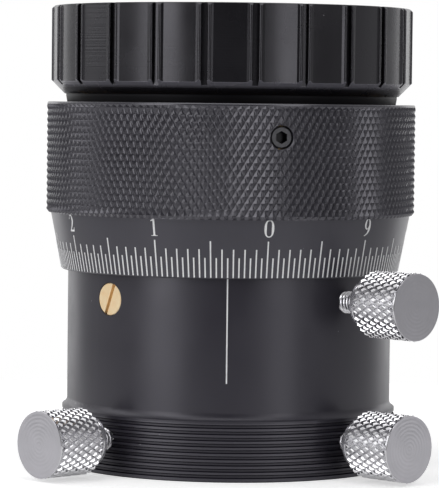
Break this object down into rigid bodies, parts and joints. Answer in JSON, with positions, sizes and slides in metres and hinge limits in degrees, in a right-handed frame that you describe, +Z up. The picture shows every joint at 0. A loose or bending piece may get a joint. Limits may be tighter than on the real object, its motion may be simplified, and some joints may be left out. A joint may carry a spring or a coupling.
{
  "type": "helical focuser",
  "caption": "Tubular eyepiece focuser: fixed body with ridged flange, knurled turning ring with numbered conical scale, keyed sliding tube, fluted twist-lock top and knurled thumbscrews.",
  "frame": {"origin": "centre of the bottom face, where the socket for the telescope opens", "axes": "+Z up along the optical axis towards the eyepiece, -Y towards the index line, +X towards the lock screw's side"},
  "size_m": [0.0742, 0.0716, 0.0849],
  "materials": {
    "black_anodised_aluminium": "satin black anodised",
    "plain_aluminium": "machined",
    "turned_brass": "turned, slightly tarnished",
    "white_ptfe": "smooth sheet",
    "blackened_steel": "black oxide",
    "nitrile_rubber": "greased",
    "stainless_steel": "bright, diamond knurled heads"
  },
  "bodies": {
    "body": {"body_tube": "black_anodised_aluminium", "guide_screw": "turned_brass", "ring_retainer": "plain_aluminium", "lower_thrust_washer": "white_ptfe", "upper_thrust_washer": "white_ptfe"},
    "focus_ring": {"focus_ring": "black_anodised_aluminium", "drive_nut": "turned_brass", "ring_set_screws": "blackened_steel"},
    "drawtube": {"drawtube": "black_anodised_aluminium", "clamp_base": "black_anodised_aluminium", "twist_seal": "nitrile_rubber", "twist_stop_screw": "blackened_steel", "collet_pins": "stainless_steel"},
    "collet": {"collet": "turned_brass"},
    "twist_ring": {"twist_ring": "black_anodised_aluminium"},
    "lock_pad": {"lock_pad": "turned_brass"},
    "lock_screw": {"lock_screw": "stainless_steel"},
    "left_socket_pad": {"left_socket_pad": "turned_brass"},
    "left_socket_screw": {"left_socket_screw": "stainless_steel"},
    "right_socket_pad": {"right_socket_pad": "turned_brass"},
    "right_socket_screw": {"right_socket_screw": "stainless_steel"}
  },
  "joints": [
    {"name": "focus_ring_turn", "type": "hinge", "parent": "body", "child": "focus_ring", "pos_m": [0, 0, 0.057], "axis": [0, 0, 1], "range_deg": [-12.6, 347.4]},
    {"name": "drawtube_slide", "type": "slide", "parent": "body", "child": "drawtube", "axis": [0, 0, 1], "range_m": [-0.00035, 0.00965]},
    {"name": "collet_slide", "type": "slide", "parent": "drawtube", "child": "collet", "axis": [0, 0, 1], "range_m": [-0.00033333, 0]},
    {"name": "twist_ring_turn", "type": "hinge", "parent": "collet", "child": "twist_ring", "pos_m": [0, 0, 0.077], "axis": [0, 0, 1], "range_deg": [-60.01, 0]},
    {"name": "lock_pad_slide", "type": "slide", "parent": "body", "child": "lock_pad", "axis": [0.7071, -0.7071, 0], "range_m": [-0.0007, 0.0007]},
    {"name": "lock_screw_turn", "type": "hinge", "parent": "lock_pad", "child": "lock_screw", "pos_m": [0.02828, -0.02828, 0.0317], "axis": [0.7071, -0.7071, 0], "range_deg": [-360.01, 360.01]},
    {"name": "left_pad_slide", "type": "slide", "parent": "body", "child": "left_socket_pad", "axis": [-0.7071, -0.7071, 0], "range_m": [-0.0014, 0.0014]},
    {"name": "left_screw_turn", "type": "hinge", "parent": "left_socket_pad", "child": "left_socket_screw", "pos_m": [-0.02828, -0.02828, 0.0065], "axis": [-0.7071, -0.7071, 0], "range_deg": [-720.01, 720.01]},
    {"name": "right_pad_slide", "type": "slide", "parent": "body", "child": "right_socket_pad", "axis": [0.7071, -0.7071, 0], "range_m": [-0.0007, 0.0014]},
    {"name": "right_screw_turn", "type": "hinge", "parent": "right_socket_pad", "child": "right_socket_screw", "pos_m": [0.02828, -0.02828, 0.0065], "axis": [0.7071, -0.7071, 0], "range_deg": [-360.01, 720.01]}
  ],
  "couplings": [
    {"joint": "drawtube_slide", "follows": "focus_ring_turn", "m_per_rad": 0.0015915},
    {"joint": "twist_ring_turn", "follows": "collet_slide", "rad_per_m": 3141.6},
    {"joint": "lock_screw_turn", "follows": "lock_pad_slide", "rad_per_m": 8976},
    {"joint": "left_screw_turn", "follows": "left_pad_slide", "rad_per_m": 8976},
    {"joint": "right_screw_turn", "follows": "right_pad_slide", "rad_per_m": 8976}
  ]
}
